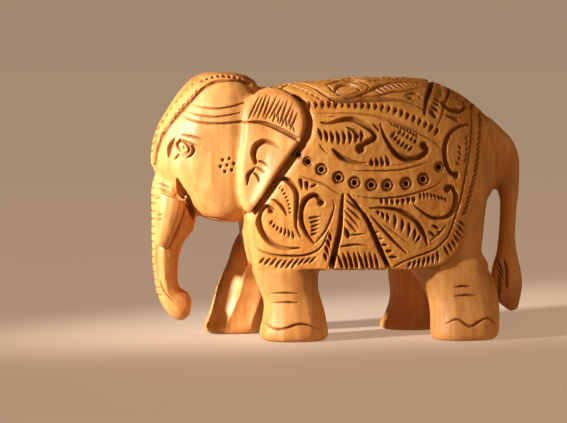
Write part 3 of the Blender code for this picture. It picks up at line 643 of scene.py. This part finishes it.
# brow, eyelids, eyeball and the hollow in front of it
gouge([(-54.0, 69.2), (-50.2, 68.4), (-46.3, 67.3)], 0.7, 0.5, ends=(0.5, 0.1), peak=0.4, mask=head)
gouge([(-54.9, 67.5), (-51.5, 66.2), (-48.0, 65.1)], 0.8, 0.65, ends=(0.6, 0.1), peak=0.35, mask=head)
gouge([(-54.4, 67.3), (-55.5, 66.2), (-55.4, 65.0), (-54.5, 63.5)], 0.9, 0.75, ends=(0.7, 0.2), peak=0.4,
      mask=head)
gouge([(-53.9, 66.8), (-52.6, 66.0), (-51.8, 64.6), (-52.2, 63.2), (-53.2, 63.2)], 0.75, 0.6,
      ends=(0.5, 0.3), mask=head)
gouge([(-53.7, 65.3), (-53.2, 64.4)], 0.5, 0.35, mask=head, tone=0.6)
gouge([(-50.9, 65.6), (-50.4, 64.0), (-51.3, 62.3), (-52.8, 61.4)], 1.0, 0.85, ends=(0.7, 0.2), peak=0.3,
      mask=head)
gouge([(-54.2, 62.6), (-53.0, 62.2), (-51.9, 62.6)], 0.4, 0.3, mask=head, tone=0.6)
gouge([(-56.4, 68.0), (-57.8, 64.9), (-58.5, 61.5)], 1.5, 1.0, ends=(0.2, 0.2), mask=head)
gouge([(-55.0, 62.9), (-55.8, 61.6), (-56.8, 60.6)], 0.7, 0.5, ends=(0.3, 0.2), mask=head)
# cheek flower: one punched hole with six round it
FLOWER = (-39.3, 59.1)
FLOWER_RADIUS = 2.25
petals = [(FLOWER_RADIUS * math.cos(a), FLOWER_RADIUS * math.sin(a))
          for a in (math.radians(60 * k + 12) for k in range(6))]
for dy, dz in [(0.0, 0.0)] + petals:
    pit((FLOWER[0] + dy, FLOWER[1] + dz), 0.6, 0.8, mask=head)
# mouth: a wedge let in behind the tusk, the lip rolled over it
mouth = head | on("trunk")
gouge([(-55.6, 54.0), (-54.4, 50.6), (-52.2, 47.0), (-50.4, 43.4), (-49.6, 40.6)], 2.4, 1.7, ends=(0.3, 0.4),
      peak=0.45, lean=0.4, mask=mouth)
gouge([(-62.8, 47.0), (-59.4, 48.4), (-56.4, 47.2), (-54.6, 44.9)], 0.8, 0.65, mask=mouth)
gouge([(-62.9, 52.6), (-60.4, 52.2), (-57.4, 50.9)], 0.6, 0.5, mask=mouth)
gouge([(-62.9, 50.6), (-60.2, 50.4), (-57.0, 49.2)], 0.55, 0.45, mask=mouth)
gouge([(-46.0, 41.4), (-41.6, 40.8), (-37.0, 40.2)], 0.6, 0.35, mask=head, tone=0.7)

# ---- headdress band: slits along its edge and over the crown
band = on("headdress")
row([(-61.8, 62.0), (-60.4, 69.0), (-56.6, 75.2), (-52.0, 80.4), (-48.2, 84.6)], 13, (1.7, 1.7), (62, 48),
    0.6, 0.4, mask=band)
row([(-63.6, 62.0), (-61.8, 70.0), (-57.6, 77.2), (-53.0, 83.0), (-49.0, 87.0)], 11, (1.5, 1.5), (62, 48),
    0.5, 0.2, mask=band)
row([(-47.6, 86.9), (-44.0, 88.2), (-39.6, 88.7), (-35.0, 88.0), (-31.4, 86.4)], 9, (1.3, 1.2), (40, -30),
    0.8, 0.55, ends=(0.6, 0.4), mask=band)

# ---- trunk: notches down the front, following it back where it curls, and two long facet edges
trunk = on("trunk")
NOTCH_TOP = 58.4
NOTCH_STEP = 2.6
CURL_FROM = 20.0          # the front starts to curl back at this height
CURL_MORE = 14.0          # and curls faster below this one
for k in range(18):
    z = NOTCH_TOP - NOTCH_STEP * k
    inset = max(0.0, CURL_FROM - z) * 0.42 + max(0.0, CURL_MORE - z) * 0.5
    gouge([(-66.5 + inset, z - 0.2), (-61.9 + inset, z + 0.25)], 0.7, 0.36, ends=(1.0, 0.1), peak=0.35,
          mask=trunk | head)
gouge([(-61.4, 44.0), (-61.9, 36.0), (-62.2, 26.0), (-61.6, 20.6)], 0.5, 0.35, mask=trunk, tone=0.6)
gouge([(-61.0, 19.4), (-59.4, 15.6), (-56.2, 12.4)], 0.6, 0.4, mask=trunk, tone=0.7)

# ---- tusks
tusk = on(*TUSKS)
gouge([(-63.0, 42.0), (-60.4, 42.3)], 0.55, 0.4, mask=tusk)
gouge([(-63.0, 40.4), (-60.4, 40.7)], 0.55, 0.4, mask=tusk)

# ---- feet: two short ankle lines and one wavy toe line
def foot(name, y0, y1, lines, wave):
    """Ankle lines and toe line, laid out as shares of the foot's length."""
    mask = on(name)
    span = y1 - y0
    for z, a, b in lines:
        gouge([(y0 + a * span, z), (y0 + (a + b) / 2 * span, z + 0.35), (y0 + b * span, z + 0.1)], 0.75, 0.5,
              ends=(0.3, 0.3), mask=mask)
    gouge([(y0 + f * span, z) for f, z in wave], 0.9, 0.6, ends=(0.3, 0.3), mask=mask)


FRONT_WAVE = [(0.02, 6.6), (0.18, 4.6), (0.34, 4.9), (0.50, 6.1), (0.66, 5.8), (0.84, 4.3)]
REAR_WAVE = [(0.16, 6.0), (0.32, 7.4), (0.50, 5.0), (0.64, 6.6), (0.78, 7.6), (0.90, 5.6)]
foot("front_left_leg", -28.0, -5.1, ((16.1, 0.12, 0.52), (13.0, 0.14, 0.54)), FRONT_WAVE)
foot("rear_left_leg", 29.9, 52.8, ((18.0, 0.28, 0.54), (15.0, 0.28, 0.62)), REAR_WAVE)
foot("front_right_leg", -45.2, -22.8, ((16.1, 0.12, 0.52), (13.0, 0.14, 0.54)), FRONT_WAVE)
foot("rear_right_leg", 17.6, 38.8, ((18.0, 0.28, 0.54), (15.0, 0.28, 0.62)), REAR_WAVE)
# the lines are cut on the outer side of each leg only, and run out round the front and back
legs = on(*[n for n in names if n.endswith("_leg")])
outer = np.clip(0.5 + 1.6 * normal[:, 0] * np.sign(co[:, 0]), 0, 1)
depth[legs] *= outer[legs]
stain_and_shade[legs] *= outer[legs]


SLICE = 2.0               # the middle line of a leg is found in slices this high, mm
SLICES = 20


def flats(name, count, share, turn):
    """Chisel flats down a leg: the round section becomes a many-sided one."""
    idx = np.nonzero(on(name) & (co[:, 2] < SLICE * (SLICES - 1)))[0]
    z = co[idx, 2]
    bins = np.clip((z / SLICE).astype(int), 0, SLICES - 1)
    filled = np.maximum(np.bincount(bins, minlength=SLICES), 1)
    heights = (np.arange(SLICES) + 0.5) * SLICE
    dx, dy = [co[idx, axis] - np.interp(z, heights, np.bincount(bins, co[idx, axis], SLICES) / filled)
              for axis in range(2)]
    angle = np.arctan2(dy, dx) + turn + 0.05 * np.sin(z * 0.35)
    part = 2 * math.pi / count
    local = (angle % part) - part / 2
    radius = np.hypot(dx, dy)
    cut = radius * (1 - math.cos(part / 2) / np.cos(local))
    fade = np.clip(z / 4.0, 0.15, 1) * np.clip((26 - z) / 6.0, 0, 1)
    depth[idx] = np.maximum(depth[idx], share * cut * fade)


flats("front_right_leg", 8, 0.9, 0.3)
flats("rear_right_leg", 8, 0.8, 0.1)
flats("front_left_leg", 9, 0.12, 0.2)
flats("rear_left_leg", 9, 0.12, 0.5)

# ---- tail tuft
tuft = on("tail_tuft")
row([(56.4, 24.0), (56.2, 17.0), (56.0, 10.5)], 6, (5.4, 4.6), (-66, -78), 0.7, 0.6, mask=tuft)
row([(58.4, 24.0), (58.6, 16.0)], 4, (4.4, 4.0), (-70, -80), 0.7, 0.55, mask=tuft)

# ---- hand finish: no surface is quite true, and the knife's flats show on the big forms
def waves(scale, count, seed):
    local = np.random.default_rng(seed)
    total = np.zeros(len(co))
    for _ in range(count):
        way = local.normal(size=3)
        way /= np.linalg.norm(way)
        total += np.sin(co @ way * (2 * math.pi / scale) * local.uniform(0.75, 1.3) + local.uniform(0, 6.28))
    return total / count


uneven = 0.20 * waves(16.0, 7, 3) + 0.10 * waves(6.5, 9, 4) + 0.03 * waves(2.4, 9, 5)
uneven += np.where(is_cloth, 0.10 * waves(3.1, 11, 6) + 0.06 * waves(1.5, 11, 7), 0.0)
# the soles stay flat: nothing is cut or uneven right at the floor
lift = (standing - depth) * np.clip(co[:, 2] / 0.8, 0, 1) + uneven * np.clip(co[:, 2] / 1.5, 0, 1)
carved = relax(co + normal * lift[:, None], edges, 1, 0.25)
hem = min(parts[n][0][:, 2].min() for n in CLOTH) - HEM_DROP
carved[:, 2] = np.maximum(carved[:, 2], np.where(is_cloth, hem, 0.0))
carved_normal = quad_normals(carved, quads)
for _ in range(2):
    stain_and_shade = 0.5 * stain_and_shade + 0.5 * neighbour_mean(stain_and_shade[:, None], edges)[:, 0]

# ---------------------------------------------------------------- wood
# dark brown for the bottom of the cuts: stain and painted shade together
SHADE_AND_STAIN_COLOUR = (0.10, 0.026, 0.006, 1)
SHADE_AND_STAIN_SHARE = 0.82        # how much of the stain and painted shade shows at the bottom of a cut
MIX_A = 6                 # sockets of the Mix node that hold colours
MIX_B = 7
MIX_RESULT = 2


def material(name, hue):
    """Oiled pale wood: straight upright grain, growth lines, grooves darkened with stain and painted shade.
    """
    mat = bpy.data.materials.new(name)
    mat.use_nodes = True
    tree = mat.node_tree
    tree.nodes.clear()

    def node(kind, **values):
        """New node: in_ marks a socket's value, anything else is the node's own setting."""
        n = tree.nodes.new(kind)
        for key, value in values.items():
            if key.startswith("in_"):
                n.inputs[key[3:].replace("_", " ")].default_value = value
            else:
                setattr(n, key, value)
        return n

    def link(a, out, b, socket):
        tree.links.new(a.outputs[out], b.inputs[socket])

    def noise(source, scale, detail, **values):
        n = node("ShaderNodeTexNoise", in_Scale=scale, in_Detail=detail, **values)
        link(*source, n, "Vector")
        return n

    def stretched(length, tilt):
        """Object space drawn out along the trunk of the tree, tilted slightly off upright."""
        n = node("ShaderNodeMapping", in_Scale=(1.0, 1.0, length), in_Rotation=tilt)
        link(place, "Object", n, "Vector")
        return n, "Vector"

    def spread(source, low, high, least, most):
        """Map a noise's usual range, low to high, to the range least to most."""
        n = node("ShaderNodeMapRange", in_From_Min=low, in_From_Max=high, in_To_Min=least, in_To_Max=most)
        link(source, "Fac", n, "Value")
        return n

    def times(a, out, shade):
        n = node("ShaderNodeMix", data_type="RGBA", blend_type="MULTIPLY", in_Factor=1.0)
        link(a, out, n, MIX_A)
        link(shade, "Result", n, MIX_B)
        return n

    place = node("ShaderNodeTexCoord")
    rings = noise(stretched(0.09, (0.06, -0.05, 0)), 300.0, 3.0, in_Roughness=0.55, in_Distortion=0.35)
    fibre = noise(stretched(0.045, (0.05, -0.04, 0)), 1900.0, 4.0, in_Roughness=0.6)
    mottle = noise((place, "Object"), 65.0, 4.0, in_Roughness=0.55)

    tone = node("ShaderNodeValToRGB")
    ramp = tone.color_ramp
    light, mid, deep = hue
    ramp.elements[0].position = 0.30
    ramp.elements[0].color = (*deep, 1)
    ramp.elements[1].position = 0.72
    ramp.elements[1].color = (*light, 1)
    ramp.elements.new(0.52).color = (*mid, 1)
    link(rings, "Fac", tone, "Fac")
    streaked = times(tone, "Color", spread(fibre, 0.35, 0.65, 0.93, 1.04))
    clouded = times(streaked, MIX_RESULT, spread(mottle, 0.3, 0.7, 0.82, 1.12))
    # stain and painted shade at the bottom of the cuts
    cut = node("ShaderNodeAttribute", attribute_name="cut")
    stain_and_shade_amount = node("ShaderNodeMath", operation="MULTIPLY")
    stain_and_shade_amount.inputs[1].default_value = SHADE_AND_STAIN_SHARE
    link(cut, "Fac", stain_and_shade_amount, 0)
    groove = node("ShaderNodeMix", data_type="RGBA", blend_type="MIX")
    groove.inputs[MIX_B].default_value = SHADE_AND_STAIN_COLOUR
    link(stain_and_shade_amount, 0, groove, "Factor")
    link(clouded, MIX_RESULT, groove, MIX_A)

    height = node("ShaderNodeMath", operation="ADD")
    link(fibre, "Fac", height, 0)
    link(rings, "Fac", height, 1)
    bump = node("ShaderNodeBump", in_Strength=0.10, in_Distance=0.0003)
    link(height, 0, bump, "Height")
    bsdf = node("ShaderNodeBsdfPrincipled", in_Specular_IOR_Level=0.5)
    link(groove, MIX_RESULT, bsdf, "Base Color")
    link(spread(mottle, 0.3, 0.7, 0.42, 0.58), "Result", bsdf, "Roughness")
    link(bump, "Normal", bsdf, "Normal")
    out = node("ShaderNodeOutputMaterial")
    link(bsdf, "BSDF", out, "Surface")
    return mat


# light, middle and deep tone of each wood
BODY_HUE = ((0.79, 0.415, 0.145), (0.72, 0.345, 0.105), (0.62, 0.250, 0.065))
CLOTH_HUE = ((0.78, 0.400, 0.112), (0.71, 0.325, 0.076), (0.60, 0.235, 0.046))
TUSK_HUE = ((0.81, 0.440, 0.165), (0.74, 0.370, 0.120), (0.64, 0.270, 0.075))
TRIM_HUE = ((0.77, 0.390, 0.130), (0.69, 0.315, 0.094), (0.58, 0.225, 0.058))
SLOT_LOOK = {
    "bare_wood": material("bare_wood_look", BODY_HUE),
    "carved_wood": material("carved_wood_look", CLOTH_HUE),
    "tusk_wood": material("tusk_wood_look", TUSK_HUE),
    "trim_wood": material("trim_wood_look", TRIM_HUE),
}



def node_slot(n):
    """The record's material slot of a node."""
    if n in CLOTH:
        return "carved_wood"
    if n.startswith("tusk"):
        return "tusk_wood"
    if n in ("headdress", "tail_tuft"):
        return "trim_wood"
    return "bare_wood"


# ---------------------------------------------------------------- pieces
# a face belongs to the second lowest of its corners' four labels
face_owner = np.sort(label[quads], axis=1)[:, 1]


def rim_edges(faces, count):
    """Open edges of a shell, each in the direction its own face runs."""
    way = np.vstack([faces[:, [k, (k + 1) % 4]] for k in range(4)]).astype(np.int64)
    there = way[:, 0] * count + way[:, 1]
    back_way = way[:, 1] * count + way[:, 0]
    return way[~np.isin(there, back_way)]


inward = -normal
for _ in range(INWARD_ROUNDS):
    inward = inward + neighbour_mean(inward, edges)
    inward /= np.linalg.norm(inward, axis=1)[:, None]


def hidden_caps(points, inward, faces):
    """Close every opening inside the wood: a skirt down from the rim, then a fan."""
    open_edges = rim_edges(faces, len(points))
    after = {}
    for a, b in open_edges.tolist():
        after.setdefault(a, []).append(b)
    extra = []
    caps = []
    while after:
        start = next(iter(after))
        loop = [start]
        at = start
        while at in after:
            to = after[at].pop()
            if not after[at]:
                del after[at]
            at = to
            if at == start:
                break
            loop.append(at)
        first = len(points) + len(extra)
        low = points[loop] + inward[loop] * SKIRT
        extra.extend(low)
        middle = len(points) + len(extra)
        extra.append(low.mean(0) + inward[loop].mean(0) * SKIRT)
        for k, a in enumerate(loop):
            nxt = (k + 1) % len(loop)
            b = loop[nxt]
            caps.append((b, a, first + k))
            caps.append((b, first + k, first + nxt))
            caps.append((first + nxt, first + k, middle))
    return np.array(extra).reshape(-1, 3), np.array(caps).reshape(-1, 3)


for i, n in enumerate(names):
    used, back = np.unique(quads[face_owner == i], return_inverse=True)
    faces = back.reshape(-1, 4)
    extra, caps = hidden_caps(carved[used], inward[used], faces)
    points = np.vstack([carved[used], extra])
    mesh = mesh_from("look_" + n, points, faces, caps)
    # the painted shade and stain of each point, passed to the wood as the cut attribute; the hidden caps get
    # the full amount
    cut = mesh.attributes.new("cut", "FLOAT", "POINT")
    cut.data.foreach_set("value", np.concatenate([stain_and_shade[used], np.ones(len(extra))]).astype(np.float32))
    mesh.polygons.foreach_set("use_smooth", np.ones(len(mesh.polygons), bool))
    outward = np.vstack([carved_normal[used], np.tile([0.0, 0.0, 1.0], (len(extra), 1))])
    mesh.normals_split_custom_set_from_vertices(outward.tolist())
    piece = add_object("look_" + n, mesh)
    mesh.materials.append(SLOT_LOOK[node_slot(n)])
    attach(piece, "root")
    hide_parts(n)

# ---------------------------------------------------------------- floor, light, camera
ROOM = (0.62, 0.44, 0.31, 1)      # colour of the light that fills the room
floor_mesh = bpy.data.meshes.new("floor")
bm = bmesh.new()
bmesh.ops.create_grid(bm, x_segments=2, y_segments=2, size=20.0)
bm.to_mesh(floor_mesh)
bm.free()
floor = add_object("floor", floor_mesh)
floor_look = bpy.data.materials.new("floor_look")
floor_look.use_nodes = True
floor_bsdf = floor_look.node_tree.nodes["Principled BSDF"]
floor_bsdf.inputs["Base Color"].default_value = (0.36, 0.29, 0.23, 1)
floor_bsdf.inputs["Roughness"].default_value = 0.85
floor_bsdf.inputs["Emission Color"].default_value = ROOM


def seen_and_cast(tree, cast, seen, socket):
    """A surface glows by one strength where the camera sees it, and lights others by another."""
    strength = tree.nodes.new("ShaderNodeMapRange")
    strength.inputs["To Min"].default_value = cast
    strength.inputs["To Max"].default_value = seen
    path = tree.nodes.new("ShaderNodeLightPath")
    tree.links.new(path.outputs["Is Camera Ray"], strength.inputs["Value"])
    tree.links.new(strength.outputs["Result"], socket)


seen_and_cast(floor_look.node_tree, 0.30, 0.52, floor_bsdf.inputs["Emission Strength"])
floor_mesh.materials.append(floor_look)

world = bpy.data.worlds.new("room")
world.use_nodes = True
room_light = world.node_tree.nodes["Background"]
room_light.inputs["Color"].default_value = ROOM
seen_and_cast(world.node_tree, 0.10, 0.55, room_light.inputs["Strength"])
bpy.context.scene.world = world


def aimed(name, data, place, aim):
    """Put a light or camera at a place, facing another."""
    obj = add_object(name, data)
    obj.location = place
    obj.rotation_euler = (Vector(aim) - Vector(place)).to_track_quat("-Z", "Y").to_euler()
    return obj


def area(name, place, aim, size, power, colour):
    light = bpy.data.lights.new(name, "AREA")
    light.shape = "DISK"
    light.size = size
    light.energy = power
    light.color = colour
    aimed(name, light, place, aim)


def spot(name, place, aim, radius, angle, power, colour):
    light = bpy.data.lights.new(name, "SPOT")
    light.shadow_soft_size = radius
    light.spot_size = math.radians(angle)
    light.spot_blend = 1.0
    light.energy = power
    light.color = colour
    aimed(name, light, place, aim)


spot("key", (0.25, -0.62, 0.28), (0.0, -0.075, 0.055), 0.03, 14.9, 48.0, (1.0, 0.97, 0.96))
area("fill", (0.9, 0.1, 0.8), (0, 0, 0.04), 0.9, 1.7, (1.0, 0.72, 0.42))
area("back", (0.45, 0.75, 0.45), (0, 0.03, 0.04), 0.5, 0.9, (1.0, 0.74, 0.48))

camera_data = bpy.data.cameras.new("camera")
camera_data.lens = 152.4
camera_data.sensor_width = 36.0
AZIMUTH = math.radians(83.28)
ELEVATION = math.radians(3.6)
DISTANCE = 0.823
TARGET = Vector((-0.0025, -0.0181, 0.0422))
out_way = Vector((math.sin(AZIMUTH) * math.cos(ELEVATION), -math.cos(AZIMUTH) * math.cos(ELEVATION),
                  math.sin(ELEVATION)))
bpy.context.scene.camera = aimed("camera", camera_data, TARGET + out_way * DISTANCE, TARGET)
bpy.context.scene.view_settings.view_transform = "Standard"
bpy.context.scene.view_settings.look = "Medium High Contrast"
